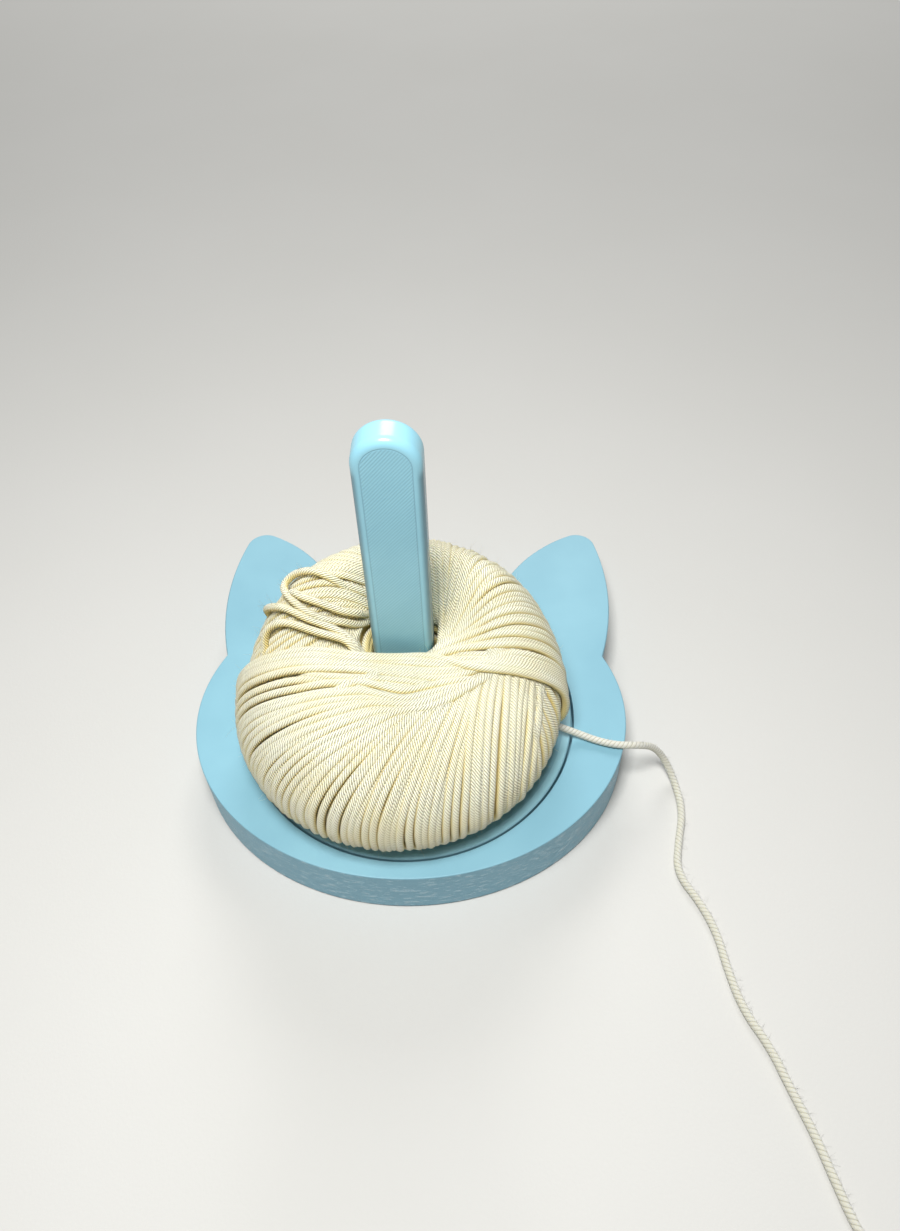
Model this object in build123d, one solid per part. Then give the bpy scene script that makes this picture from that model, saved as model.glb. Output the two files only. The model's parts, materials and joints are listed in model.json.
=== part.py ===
from build123d import *
import math
import os

# A rotating yarn ball holder in the shape of a cat's head. A ball of yarn is dropped over a
# flat upright spindle, which stands on a turntable let into the base. As the yarn is pulled,
# the ball, the spindle and the turntable turn together on one ball bearing.
#
# Millimetres, +Z up, z = 0 is the surface that the feet stand on. Every sub-part is drawn
# about the spin axis, and all are then moved together, so that the origin is the middle of
# the whole object's footprint.

# ---- driving dimensions ----
BASE_WIDTH = 150.0          # head, side to side
BASE_DEPTH = 125.4          # head, front to back, without the ears
BASE_THICK = 20.0
STAND_OFF = 0.5             # the rubber feet stand this far below the base
EDGE_BREAK = 0.4            # on the printed outer edges

EAR_OUTER_RADIUS = 102.3
EAR_OUTER_CENTRE = (-28.8, 54.8)
EAR_INNER_RADIUS = 52.9
EAR_INNER_CENTRE = (81.8, 38.1)
EAR_TIP_RADIUS = 7.2

PLATE_RADIUS = 56.1
PLATE_THICK = 6.0
PLATE_GAP = 0.9             # all round the turntable's rim
PLATE_LIFT = 1.0            # running clearance under the turntable

SPINDLE_WIDTH = 19.2
SPINDLE_DEPTH = 10.0
SPINDLE_TOP = 146.2
SPINDLE_ROUND = 2.4
TENON_WIDTH = 14.0
TENON_DEPTH = 6.0
TENON_LENGTH = 4.0
SOCKET_CLEARANCE = 0.1

STUB_FIT = 0.02             # radial, in the bearing's bore
STUB_SHORT = 0.5            # the stub stops this far above the washer
COLLAR_STEP = 0.2           # the collar is this much smaller than the inner ring's shoulder
PILOT_SPARE = 1.0           # the spindle's screw hole goes on past the screw's tip

# 608 deep-groove ball bearing
BEARING_BORE = 8.0
BEARING_OUTSIDE = 22.0
BEARING_WIDTH = 7.0
BEARING_PITCH = 15.0
BEARING_BALL = 3.969
BALL_COUNT = 7
INNER_SHOULDER = 12.1
OUTER_SHOULDER = 17.9
GROOVE_RADIUS = 2.02
SHIELD_THICK = 0.3
SHIELD_OUTSIDE = 19.4
SHIELD_INSIDE = 12.7
SHIELD_INSET = 0.3
CAGE_INSIDE = 13.1
CAGE_OUTSIDE = 16.9
CAGE_STRIP = 0.5
CAGE_POCKET_INSIDE = 2.03
CAGE_POCKET_OUTSIDE = 2.42

ACCESS_HOLE = 15.0          # under the bearing, for the screw
SCREW_SIZE = 4.0            # M4 pan head
SCREW_LENGTH = 25.0
SCREW_HEAD = 8.0
SCREW_HEAD_HEIGHT = 2.6
DRIVE_WIDTH = 1.1
DRIVE_LENGTH = 4.2
DRIVE_DEPTH = 1.5
SCREW_CLEARANCE = 0.3
THREAD_CLEARANCE = 0.06
WASHER_OUTSIDE = 11.8
WASHER_THICK = 1.0

PAD_DIAMETER = 10.0
PAD_THICK = 2.0
PAD_POCKET = 10.4
PAD_ROUND = 0.4
PAD_PLACES = {
    "front_left": (-44.0, -36.0),
    "front_right": (44.0, -36.0),
    "rear_left": (-60.0, 60.0),
    "rear_right": (60.0, 60.0),
}

BALL_CENTRE = (-1.5, -6.0)  # the soft ball sits a little forward on the spindle
BALL_HOLE = 23.0
BALL_CLEARANCE = 0.3
BALL_PROFILE = [            # radius and height above the ball's underside
    (38.0, 0.0),
    (47.0, 6.5),
    (54.5, 24.5),
    (47.0, 47.5),
    (29.0, 55.5),
    (14.0, 45.5),
]
BALL_DIMPLE = 38.0          # height of the hollow in the crown, on the ball's own axis
BALL_LEAVES_UNDERSIDE = (1.0, 0.5)
BALL_MEETS_AXIS = (-1.0, 0.0)

YARN_DIAMETER = 2.5
BEND_SHARE = 0.45           # of the shorter run beside a corner, taken by the corner's arc
YARN_ROUTE = [              # from the ball, over the base's edge and along the table
    (53.5, -10.2, 25.2),
    (58.5, -10.6, 22.9),
    (64.6, -12.8, 22.2),
    (71.0, -14.6, 22.5),
    (78.0, -13.8, 21.4),
    (84.2, -10.4, 15.2),
    (89.3, -10.2, 7.0),
    (93.0, -16.8, 1.6),
    (94.2, -28.0, 1.4),
    (91.2, -39.5, 1.4),
    (89.2, -50.5, 1.4),
    (95.6, -61.0, 1.4),
    (99.4, -71.0, 1.4),
    (100.9, -83.0, 1.4),
    (103.8, -95.0, 1.4),
    (109.6, -105.0, 1.4),
    (113.3, -116.5, 1.4),
    (117.4, -127.5, 1.4),
    (120.4, -139.0, 1.4),
    (123.6, -150.5, 1.4),
    (128.0, -160.6, 1.4),
]

# ---- heights worked out from them ----
TOP = STAND_OFF + BASE_THICK
PLATE_UNDER = TOP - PLATE_THICK
RECESS_FLOOR = PLATE_UNDER - PLATE_LIFT
BEARING_UNDER = RECESS_FLOOR - BEARING_WIDTH
BEARING_MIDDLE = RECESS_FLOOR - BEARING_WIDTH / 2
WASHER_UNDER = BEARING_UNDER - WASHER_THICK
STUB_END = BEARING_UNDER + STUB_SHORT
STUB_RADIUS = BEARING_BORE / 2 - STUB_FIT
COLLAR_RADIUS = INNER_SHOULDER / 2 - COLLAR_STEP
PILOT_TOP = WASHER_UNDER + SCREW_LENGTH + PILOT_SPARE
BALL_UNDER = TOP + BALL_CLEARANCE


def drum(radius, low, high):
    """An upright cylinder about the spin axis, between two heights."""
    return Pos(0, 0, low) * Cylinder(radius, high - low, align=(Align.CENTER, Align.CENTER, Align.MIN))


def hoop(outer, inner, low, high):
    """An upright ring about the spin axis."""
    return drum(outer, low, high) - drum(inner, low, high)


def block(width, depth, low, high):
    """An upright box about the spin axis."""
    return Pos(0, 0, low) * Box(width, depth, high - low, align=(Align.CENTER, Align.CENTER, Align.MIN))


def round_places():
    """The angles of the bearing's balls, in degrees."""
    return [360.0 * i / BALL_COUNT for i in range(BALL_COUNT)]


# ---- base ----
def head_outline():
    """An oval head with two rounded ears, each ear the overlap of two discs."""
    outer = Pos(*EAR_OUTER_CENTRE) * Circle(EAR_OUTER_RADIUS)
    inner = Pos(*EAR_INNER_CENTRE) * Circle(EAR_INNER_RADIUS)
    ear = outer & inner
    ear = fillet(ear.vertices().sort_by(Axis.Y)[-1], EAR_TIP_RADIUS)
    return Ellipse(BASE_WIDTH / 2, BASE_DEPTH / 2) + ear + mirror(ear, about=Plane.YZ)


def make_base():
    """The printed slab, with the turntable's recess, the bearing's seat and the pads' pockets."""
    slab = extrude(Pos(0, 0, STAND_OFF) * head_outline(), BASE_THICK)
    rims = slab.faces().sort_by(Axis.Z)
    slab = fillet(rims[0].outer_wire().edges() + rims[-1].outer_wire().edges(), EDGE_BREAK)
    slab -= drum(PLATE_RADIUS + PLATE_GAP, RECESS_FLOOR, TOP)
    slab -= drum(BEARING_OUTSIDE / 2, BEARING_UNDER, RECESS_FLOOR)
    slab -= drum(ACCESS_HOLE / 2, STAND_OFF, BEARING_UNDER)
    for place in PAD_PLACES.values():
        slab -= Pos(*place) * drum(PAD_POCKET / 2, STAND_OFF, PAD_THICK)
    return slab


def make_foot_pad(place):
    """A stick-on rubber foot, in its pocket under the base."""
    pad = drum(PAD_DIAMETER / 2, 0, PAD_THICK)
    pad = fillet(pad.edges().sort_by(Axis.Z)[0], PAD_ROUND)
    return Pos(*place) * pad


# ---- turntable ----
def make_turntable_plate():
    """The disc, with a collar that sits on the bearing's inner ring and a stub through its bore."""
    disc = drum(PLATE_RADIUS, PLATE_UNDER, TOP)
    disc = chamfer(disc.edges().filter_by(GeomType.CIRCLE), EDGE_BREAK)
    collar = drum(COLLAR_RADIUS, RECESS_FLOOR, PLATE_UNDER)
    plate = disc + collar + drum(STUB_RADIUS, STUB_END, RECESS_FLOOR)
    plate -= block(
        TENON_WIDTH + 2 * SOCKET_CLEARANCE,
        TENON_DEPTH + 2 * SOCKET_CLEARANCE,
        TOP - TENON_LENGTH - SOCKET_CLEARANCE,
        TOP,
    )
    return plate - drum(SCREW_SIZE / 2 + SCREW_CLEARANCE, STUB_END, TOP)


def make_spindle():
    """A flat upright bar with a round top, printed lying down, and a tenon at its foot."""
    half = SPINDLE_WIDTH / 2
    shoulder = SPINDLE_TOP - half
    face = Pos(0, (TOP + shoulder) / 2) * Rectangle(SPINDLE_WIDTH, shoulder - TOP)
    face += Pos(0, shoulder) * Circle(half)
    bar = extrude(Plane.XZ * face, SPINDLE_DEPTH / 2, both=True)
    flats = bar.faces().filter_by(Axis.Y)
    rims = [edge for flat in flats for edge in flat.edges() if edge.center().Z > TOP + EDGE_BREAK]
    bar = fillet(rims, SPINDLE_ROUND)
    bar += block(TENON_WIDTH, TENON_DEPTH, TOP - TENON_LENGTH, TOP)
    return bar - drum(SCREW_SIZE / 2 + THREAD_CLEARANCE, TOP - TENON_LENGTH, PILOT_TOP)


def make_screw():
    """A pan-head screw, up through the bearing into the spindle's foot."""
    head = drum(SCREW_HEAD / 2, WASHER_UNDER - SCREW_HEAD_HEIGHT, WASHER_UNDER)
    head = fillet(head.edges().sort_by(Axis.Z)[0], SCREW_HEAD_HEIGHT / 2)
    low = WASHER_UNDER - SCREW_HEAD_HEIGHT
    slot = block(DRIVE_LENGTH, DRIVE_WIDTH, low, low + DRIVE_DEPTH)
    head -= slot + Rot(0, 0, 90) * slot
    shank = drum(SCREW_SIZE / 2, WASHER_UNDER, WASHER_UNDER + SCREW_LENGTH)
    shank = chamfer(shank.edges().sort_by(Axis.Z)[-1], EDGE_BREAK)
    return head + shank


def make_washer():
    """The washer that holds the bearing's inner ring against the turntable's collar."""
    return hoop(WASHER_OUTSIDE / 2, SCREW_SIZE / 2 + SCREW_CLEARANCE / 2, WASHER_UNDER, BEARING_UNDER)


# ---- bearing ----
def groove():
    """The ring-shaped space that the bearing's balls run in."""
    return Pos(0, 0, BEARING_MIDDLE) * Torus(BEARING_PITCH / 2, GROOVE_RADIUS)


def make_inner_ring():
    """The bearing's inner ring, which turns with the turntable."""
    return hoop(INNER_SHOULDER / 2, BEARING_BORE / 2, BEARING_UNDER, RECESS_FLOOR) - groove()


def shield_heights():
    """The lower faces of the lower and the upper shield."""
    return BEARING_UNDER + SHIELD_INSET, RECESS_FLOOR - SHIELD_INSET - SHIELD_THICK


def make_outer_ring():
    """The bearing's outer ring, held in the base, with a step at each face for a shield."""
    ring = hoop(BEARING_OUTSIDE / 2, OUTER_SHOULDER / 2, BEARING_UNDER, RECESS_FLOOR) - groove()
    ring -= drum(SHIELD_OUTSIDE / 2, BEARING_UNDER, shield_heights()[0] + SHIELD_THICK)
    return ring - drum(SHIELD_OUTSIDE / 2, shield_heights()[1], RECESS_FLOOR)


def make_shield(low):
    """A pressed steel shield."""
    return hoop(SHIELD_OUTSIDE / 2, SHIELD_INSIDE / 2, low, low + SHIELD_THICK)


def make_bearing_ball(angle):
    """One of the bearing's balls."""
    return Rot(0, 0, angle) * Pos(BEARING_PITCH / 2, 0, BEARING_MIDDLE) * Sphere(BEARING_BALL / 2)


def make_cage_half(side):
    """Half of the strip cage: side is 1 for the upper half and -1 for the lower."""
    strip = hoop(CAGE_OUTSIDE / 2, CAGE_INSIDE / 2, -CAGE_STRIP, CAGE_STRIP)
    for angle in round_places():
        strip += Rot(0, 0, angle) * Pos(BEARING_PITCH / 2, 0, 0) * Sphere(CAGE_POCKET_OUTSIDE)
    for angle in round_places():
        strip -= Rot(0, 0, angle) * Pos(BEARING_PITCH / 2, 0, 0) * Sphere(CAGE_POCKET_INSIDE)
    reach = BEARING_WIDTH / 2
    strip -= drum(CAGE_INSIDE / 2, -reach, reach)
    strip -= hoop(BEARING_OUTSIDE / 2, CAGE_OUTSIDE / 2, -reach, reach)
    strip -= block(BEARING_OUTSIDE, BEARING_OUTSIDE, min(0, -side * reach), max(0, -side * reach))
    return Pos(0, 0, BEARING_MIDDLE) * strip


# ---- yarn ----
def make_yarn_ball():
    """The ball of yarn as a plain squat body with a hollow crown and a hole for the spindle."""
    outer = [(radius, BALL_UNDER + rise) for radius, rise in BALL_PROFILE]
    bottom = Line((0, BALL_UNDER), outer[0])
    side = Spline(*outer, (0, BALL_UNDER + BALL_DIMPLE), tangents=[BALL_LEAVES_UNDERSIDE, BALL_MEETS_AXIS])
    axis = Line((0, BALL_UNDER + BALL_DIMPLE), (0, BALL_UNDER))
    body = revolve(Plane.XZ * make_face([bottom, side, axis]), Axis.Z)
    body = Pos(*BALL_CENTRE, 0) * body
    return body - drum(BALL_HOLE / 2, 0, SPINDLE_TOP)


def bend_radii(route):
    """For each corner, the arc that takes BEND_SHARE of its shorter run."""
    points = [Vector(*p) for p in route]
    radii = []
    for before, here, after in zip(points, points[1:], points[2:]):
        turn = math.radians((here - before).get_angle(after - here))
        shorter = min((here - before).length, (after - here).length)
        radii.append(BEND_SHARE * shorter / math.tan(turn / 2))
    return radii


def make_yarn_tail():
    """The loose end of the yarn, from beside the ball to a bare end on the table."""
    radii = bend_radii(YARN_ROUTE)
    path = FilletPolyline(*YARN_ROUTE, radius=radii)
    section = Plane(origin=path @ 0, z_dir=path % 0) * Circle(YARN_DIAMETER / 2)
    tube = sweep(section, path)
    expected = math.pi * (YARN_DIAMETER / 2) ** 2 * path.length
    print("yarn tail bend radii:", [round(r, 1) for r in radii])
    print("yarn tail length:", round(path.length, 1))
    print("yarn tail volume over expected:", round(tube.volume / expected, 4))
    return tube


def all_parts():
    """Every sub-part by the name of its node, drawn about the spin axis."""
    parts = {
        "base": make_base(),
        "turntable_plate": make_turntable_plate(),
        "spindle_post": make_spindle(),
        "spindle_screw": make_screw(),
        "retaining_washer": make_washer(),
        "bearing_outer_ring": make_outer_ring(),
        "bearing_inner_ring": make_inner_ring(),
        "bearing_shield_lower": make_shield(shield_heights()[0]),
        "bearing_shield_upper": make_shield(shield_heights()[1]),
        "bearing_cage_upper": make_cage_half(1),
        "bearing_cage_lower": make_cage_half(-1),
        "yarn_ball": make_yarn_ball(),
        "yarn_tail": make_yarn_tail(),
    }
    for number, angle in enumerate(round_places(), start=1):
        parts[f"bearing_ball_{number}"] = make_bearing_ball(angle)
    for name, place in PAD_PLACES.items():
        parts[f"foot_pad_{name}"] = make_foot_pad(place)
    return parts


os.makedirs("parts", exist_ok=True)
PARTS = all_parts()
footprint = PARTS["base"].bounding_box()
SPIN_AXIS_Y = -(footprint.min.Y + footprint.max.Y) / 2
print("spin axis is at y =", round(SPIN_AXIS_Y, 4))
for node, shape in PARTS.items():
    export_step(Pos(0, SPIN_AXIS_Y, 0) * shape, f"parts/{node}.step")
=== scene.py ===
import json
import math

import bmesh
import bpy
import numpy as np
from mathutils import Matrix, Vector


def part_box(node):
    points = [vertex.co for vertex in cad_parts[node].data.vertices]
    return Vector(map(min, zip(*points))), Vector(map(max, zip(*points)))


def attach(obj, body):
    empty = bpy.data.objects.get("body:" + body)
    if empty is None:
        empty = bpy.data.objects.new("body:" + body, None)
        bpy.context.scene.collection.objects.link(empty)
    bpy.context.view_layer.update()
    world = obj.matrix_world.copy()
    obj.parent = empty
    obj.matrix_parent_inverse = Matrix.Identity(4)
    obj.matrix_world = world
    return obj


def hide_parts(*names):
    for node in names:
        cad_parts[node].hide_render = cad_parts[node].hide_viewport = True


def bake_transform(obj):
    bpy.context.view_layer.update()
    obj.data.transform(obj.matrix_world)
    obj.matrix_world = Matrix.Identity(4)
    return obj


# The looks of a yarn ball holder: a printed cat's-head base, a turntable with a flat spindle, a
# wound ball of cream yarn and its loose end. Metres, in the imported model's frame.

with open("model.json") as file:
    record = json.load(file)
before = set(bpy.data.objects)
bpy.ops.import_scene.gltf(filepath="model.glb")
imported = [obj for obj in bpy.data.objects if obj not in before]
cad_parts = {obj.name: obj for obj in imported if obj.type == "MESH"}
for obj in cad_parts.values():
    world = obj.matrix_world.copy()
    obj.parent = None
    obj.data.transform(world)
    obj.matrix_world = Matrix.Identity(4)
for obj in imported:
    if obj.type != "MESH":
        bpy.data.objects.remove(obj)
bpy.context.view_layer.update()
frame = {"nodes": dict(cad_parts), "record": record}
RECORD = frame["record"]
MM = 0.001
TURN = 2 * math.pi


def joint_place(name):
    """Where a joint of the record is, as three numbers."""
    return next(joint["pos_m"] for joint in RECORD["behaviour"]["joints"] if joint["name"] == name)


SPIN = joint_place("turntable_spin")
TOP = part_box("base")[1].z
PLATE_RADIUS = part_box("turntable_plate")[1].x
POST_LOW, POST_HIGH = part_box("spindle_post")
POST_HALF_WIDTH = POST_HIGH.x
POST_HALF_DEPTH = (POST_HIGH.y - POST_LOW.y) / 2
POST_ROUND = 2.4 * MM       # the spindle's rounded edges


def from_spin(point):
    """A point given about the spin axis, in the row frame."""
    return Vector((SPIN[0] + point[0], SPIN[1] + point[1], point[2]))


def smooth(x, low, high):
    """0 below low, 1 above high and a smooth step between, for numbers and arrays."""
    t = np.clip((np.asarray(x, float) - low) / (high - low), 0.0, 1.0)
    return t * t * (3 - 2 * t)


# ---- camera ----
CAMERA_PLACE = (0.02417, -0.19321, 0.30297)
CAMERA_TARGET = (0.01208, 0.06109, 0.0)
CAMERA_ROLL = math.radians(-1.963)
CAMERA_LENS = 28.44
SENSOR = 36.0


def add_camera():
    """A phone camera close above the front of the holder, looking down at it."""
    data = bpy.data.cameras.new("camera")
    data.sensor_width = SENSOR
    data.lens = CAMERA_LENS
    data.clip_start = 0.01
    camera = bpy.data.objects.new("camera", data)
    bpy.context.scene.collection.objects.link(camera)
    place = from_spin(CAMERA_PLACE)
    aim = (from_spin(CAMERA_TARGET) - place).to_track_quat("-Z", "Y").to_matrix()
    turned = (aim @ Matrix.Rotation(CAMERA_ROLL, 3, "Z")).to_4x4()
    camera.matrix_world = Matrix.Translation(place) @ turned
    bpy.context.scene.camera = camera


add_camera()


# ---- meshes ----
def add_mesh(name, verts, faces, uvs=None):
    """A mesh object from arrays. uvs has one row for each corner of each face."""
    mesh = bpy.data.meshes.new(name)
    verts = np.asarray(verts, np.float32)
    faces = np.asarray(faces, np.int32)
    per_face = faces.shape[1]
    mesh.vertices.add(len(verts))
    mesh.vertices.foreach_set("co", verts.ravel())
    mesh.loops.add(faces.size)
    mesh.loops.foreach_set("vertex_index", faces.ravel())
    mesh.polygons.add(len(faces))
    mesh.polygons.foreach_set("loop_start", np.arange(0, faces.size, per_face, dtype=np.int32))
    mesh.polygons.foreach_set("use_smooth", np.full(len(faces), True))
    mesh.update(calc_edges=True)
    mesh.validate()
    if uvs is not None:
        layer = mesh.uv_layers.new(name="yarn")
        layer.data.foreach_set("uv", np.asarray(uvs, np.float32).ravel())
    obj = bpy.data.objects.new(name, mesh)
    bpy.context.scene.collection.objects.link(obj)
    return obj


def unit(vectors):
    """Each row at length one."""
    return vectors / np.maximum(np.linalg.norm(vectors, axis=-1, keepdims=True), 1e-12)


def arc_lengths(points):
    """The distance along a line at each of its points."""
    steps = np.linalg.norm(np.diff(points, axis=0), axis=1)
    return np.concatenate([[0.0], np.cumsum(steps)])


def resample(points, spacing, *values):
    """The line with evenly spaced points, and any values along it at the same places."""
    along = arc_lengths(points)
    count = max(4, int(round(along[-1] / spacing)) + 1)
    wanted = np.linspace(0, along[-1], count)
    line = np.stack([np.interp(wanted, along, points[:, k]) for k in range(3)], axis=1)
    return [line] + [
        np.stack([np.interp(wanted, along, v[:, k]) for k in range(v.shape[1])], axis=1) for v in values
    ]


def carried_normals(points):
    """Side directions that don't spin about the line, starting from straight up."""
    tangents = unit(np.gradient(points, axis=0))
    normal = np.array([0.0, 0.0, 1.0])
    found = []
    for tangent in tangents:
        normal = unit(normal - tangent * (normal @ tangent))
        found.append(normal)
    return np.array(found)


def tube_parts(points, normals, radii, sides, lay, start=0):
    """Vertices, faces and corner UVs of a tube, whose first side faces the normals.

    The UV's first number is the length in turns of the twist, and the second goes round once.
    """
    tangents = unit(np.gradient(points, axis=0))
    outward = unit(normals - tangents * np.sum(normals * tangents, axis=1, keepdims=True))
    across = np.cross(tangents, outward)
    angles = np.arange(sides) * TURN / sides
    cosines, sines = np.cos(angles)[None, :, None], np.sin(angles)[None, :, None]
    ring = cosines * outward[:, None, :] + sines * across[:, None, :]
    radii = np.broadcast_to(np.asarray(radii), (len(points), sides))
    verts = (points[:, None, :] + ring * radii[:, :, None]).reshape(-1, 3)
    rows = np.arange(len(points) - 1)[:, None]
    cols = np.arange(sides)[None, :]
    following = (cols + 1) % sides
    a, b = rows * sides + cols, rows * sides + following
    faces = np.stack([a, b, b + sides, a + sides], axis=-1).reshape(-1, 4) + start
    along = arc_lengths(points) / lay
    u0 = np.broadcast_to(along[:-1, None], (len(points) - 1, sides))
    u1 = np.broadcast_to(along[1:, None], (len(points) - 1, sides))
    v0 = np.broadcast_to(cols / sides, u0.shape)
    v1 = v0 + 1.0 / sides
    uvs = np.stack([u0, v0, u0, v1, u1, v1, u1, v0], axis=-1).reshape(-1, 4, 2)
    return verts, faces, uvs.reshape(-1, 2)


def joined(parts):
    """Several tubes' vertices, faces and UVs as one mesh's."""
    verts, faces, uvs = zip(*parts)
    return np.concatenate(verts), np.concatenate(faces), np.concatenate(uvs)


# ---- the loose end of the yarn ----
YARN_DIAMETER = 0.0025
YARN_ROUTE = [      # about the spin axis, from the ball over the base's edge and along the table
    (0.0498, -0.0096, 0.0266),
    (0.0540, -0.0100, 0.0246),
    (0.0585, -0.0106, 0.0226),
    (0.0646, -0.0128, 0.0219),
    (0.0710, -0.0146, 0.0223),
    (0.0780, -0.0138, 0.0212),
    (0.0842, -0.0104, 0.0152),
    (0.0893, -0.0102, 0.0070),
    (0.0930, -0.0168, 0.0015),
    (0.0942, -0.0280, 0.0014),
    (0.0912, -0.0395, 0.0014),
    (0.0892, -0.0505, 0.0014),
    (0.0956, -0.0610, 0.0014),
    (0.0994, -0.0710, 0.0014),
    (0.1009, -0.0830, 0.0014),
    (0.1038, -0.0950, 0.0014),
    (0.1096, -0.1050, 0.0014),
    (0.1133, -0.1165, 0.0014),
    (0.1174, -0.1275, 0.0014),
    (0.1204, -0.1390, 0.0014),
    (0.1236, -0.1505, 0.0014),
    (0.1280, -0.1606, 0.0014),
]
TAIL_PLIES = 3
TAIL_LAY = 4.2 * MM
TAIL_SIDES = 18
TAIL_SPACING = 0.35 * MM
TAIL_LOBE = 0.10            # how deep the grooves between its plies are, as a share of its radius
TAIL_FIBRES = 240
TAIL_FIBRE_LENGTH = 2.2 * MM
TAIL_BARE_START = 20        # this many of the tail's points lie too close to the ball for fibres


def smooth_line(points):
    """The points of the NURBS line that has these control points."""
    curve = bpy.data.curves.new("route", "CURVE")
    curve.dimensions = "3D"
    spline = curve.splines.new("NURBS")
    spline.points.add(len(points) - 1)
    for place, point in zip(spline.points, points):
        place.co = (*point, 1.0)
    spline.order_u = 3
    spline.use_endpoint_u = True
    spline.resolution_u = 16
    holder = bpy.data.objects.new("route", curve)
    bpy.context.scene.collection.objects.link(holder)
    mesh = bpy.data.meshes.new_from_object(holder)
    line = np.array([v.co for v in mesh.vertices], float)
    bpy.data.objects.remove(holder)
    bpy.data.meshes.remove(mesh)
    return line


def plied_radii(points, radius, sides, plies, lay, lobe):
    """The radius at each point and side of a yarn of a few plies twisted together."""
    along = arc_lengths(points)[:, None] / lay
    around = np.arange(sides)[None, :] / sides
    ply = np.abs(np.cos(math.pi * plies * (around + along)))
    return radius * (1 - lobe + lobe * np.sqrt(ply))


def add_tail():
    """The yarn from the ball to its bare end, and its middle line."""
    route = [from_spin(point) for point in YARN_ROUTE]
    line = resample(smooth_line(route), TAIL_SPACING)[0]
    radii = plied_radii(line, YARN_DIAMETER / 2, TAIL_SIDES, TAIL_PLIES, TAIL_LAY, TAIL_LOBE)
    verts, faces, uvs = tube_parts(line, carried_normals(line), radii, TAIL_SIDES, TAIL_LAY)
    tail = add_mesh("yarn_tail_strand", verts, faces, uvs)
    close_ends(tail)
    return tail, line


def close_ends(obj):
    """Fills the open ends of a mesh's tubes."""
    shape = bmesh.new()
    shape.from_mesh(obj.data)
    rims = [edge for edge in shape.edges if edge.is_boundary]
    bmesh.ops.holes_fill(shape, edges=rims, sides=0)
    shape.to_mesh(obj.data)
    shape.free()


FIBRE_CLEAR = 0.05 * MM     # above the table
FIBRE_RADIUS = 0.034 * MM
FIBRE_SIDES = 3
FIBRE_TAPER = 0.6
FIBRE_POINTS = 5
FIBRE_ROOT = 0.8            # its root's place, as a share of the yarn's radius
FIBRE_SPREAD = 0.7
FIBRE_CURL = 0.35
FIBRE_SHORTEST = 0.35       # as a share of the longest


def add_fibres(name, lines, normals, count, radius, longest, seed):
    """Fine fibres that stand out of the yarn."""
    rng = np.random.default_rng(seed)
    parts = []
    start = 0
    steps = np.linspace(0, 1, FIBRE_POINTS)[:, None]
    for _ in range(count):
        pick = rng.integers(len(lines))
        place = rng.integers(2, len(lines[pick]) - 2)
        out = normals[pick][place]
        root = lines[pick][place] + out * radius * FIBRE_ROOT
        lean = unit(out * rng.uniform(0.3, 1.0) + rng.normal(0, FIBRE_SPREAD, 3))
        curl = rng.normal(0, FIBRE_CURL, 3)
        length = rng.uniform(FIBRE_SHORTEST, 1.0) * longest
        points = root + length * (lean * steps + curl * steps ** 2)
        # a fibre that meets the table turns up again
        points[:, 2] = np.abs(points[:, 2] - FIBRE_CLEAR) + FIBRE_CLEAR
        thick = FIBRE_RADIUS * (1 - FIBRE_TAPER * steps)
        part = tube_parts(points, carried_normals(points), thick, FIBRE_SIDES, YARN_DIAMETER, start)
        start += len(part[0])
        parts.append(part)
    piece = add_mesh(name, *joined(parts))
    close_ends(piece)
    return piece


tail, tail_line = add_tail()
tail_fibres = add_fibres(
    "yarn_tail_fibres",
    [tail_line[TAIL_BARE_START:]],
    [carried_normals(tail_line)[TAIL_BARE_START:]],
    TAIL_FIBRES,
    YARN_DIAMETER / 2,
    TAIL_FIBRE_LENGTH,
    seed=8,
)
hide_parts("yarn_tail")


# ---- the wound ball ----
STRAND_RADIUS = 1.3 * MM
STRAND_SIDES = 8
STRAND_SPACING = 1.7 * MM       # between a strand's rings of vertices
STRAND_LAY = 7.2 * MM           # one turn of its twist
LOOPS = 150                     # in one turn of the winding about the ball
STEP = TURN / LOOPS
LAST_LOOP = math.radians(-106)  # the newest loop passes just in front of the spindle
BALL_CENTRE = (-1.5 * MM, -6.0 * MM)    # of its wide part, from the spin axis
CENTRED, SHIFTED = 10 * MM, 46 * MM     # the ball moves off the axis between these radii
RAMP = 5.0 * MM                 # the newest loop lies this far outside the oldest
# radius and height of a strand's middle, from the hole outwards and in again underneath
BACK_PROFILE = np.array([
    (5.0, 59.0),
    (10.0, 62.0),
    (15.0, 66.8),
    (21.0, 72.2),
    (29.0, 76.0),
    (38.0, 74.2),
    (46.0, 66.0),
    (51.2, 54.5),
    (52.6, 43.0),
    (51.8, 33.5),
    (48.0, 26.5),
    (40.0, 23.2),
    (28.0, 22.2),
    (15.0, 22.2),
    (5.0, 22.2),
]) * MM
FRONT_PROFILE = np.array([
    (5.0, 61.0),
    (10.0, 62.6),
    (15.0, 63.8),
    (21.0, 64.6),
    (29.0, 64.4),
    (38.0, 61.8),
    (46.0, 56.0),
    (51.8, 48.0),
    (54.0, 40.0),
    (53.4, 32.0),
    (48.6, 26.0),
    (40.0, 23.2),
    (28.0, 22.2),
    (15.0, 22.2),
    (5.0, 22.2),
]) * MM


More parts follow.
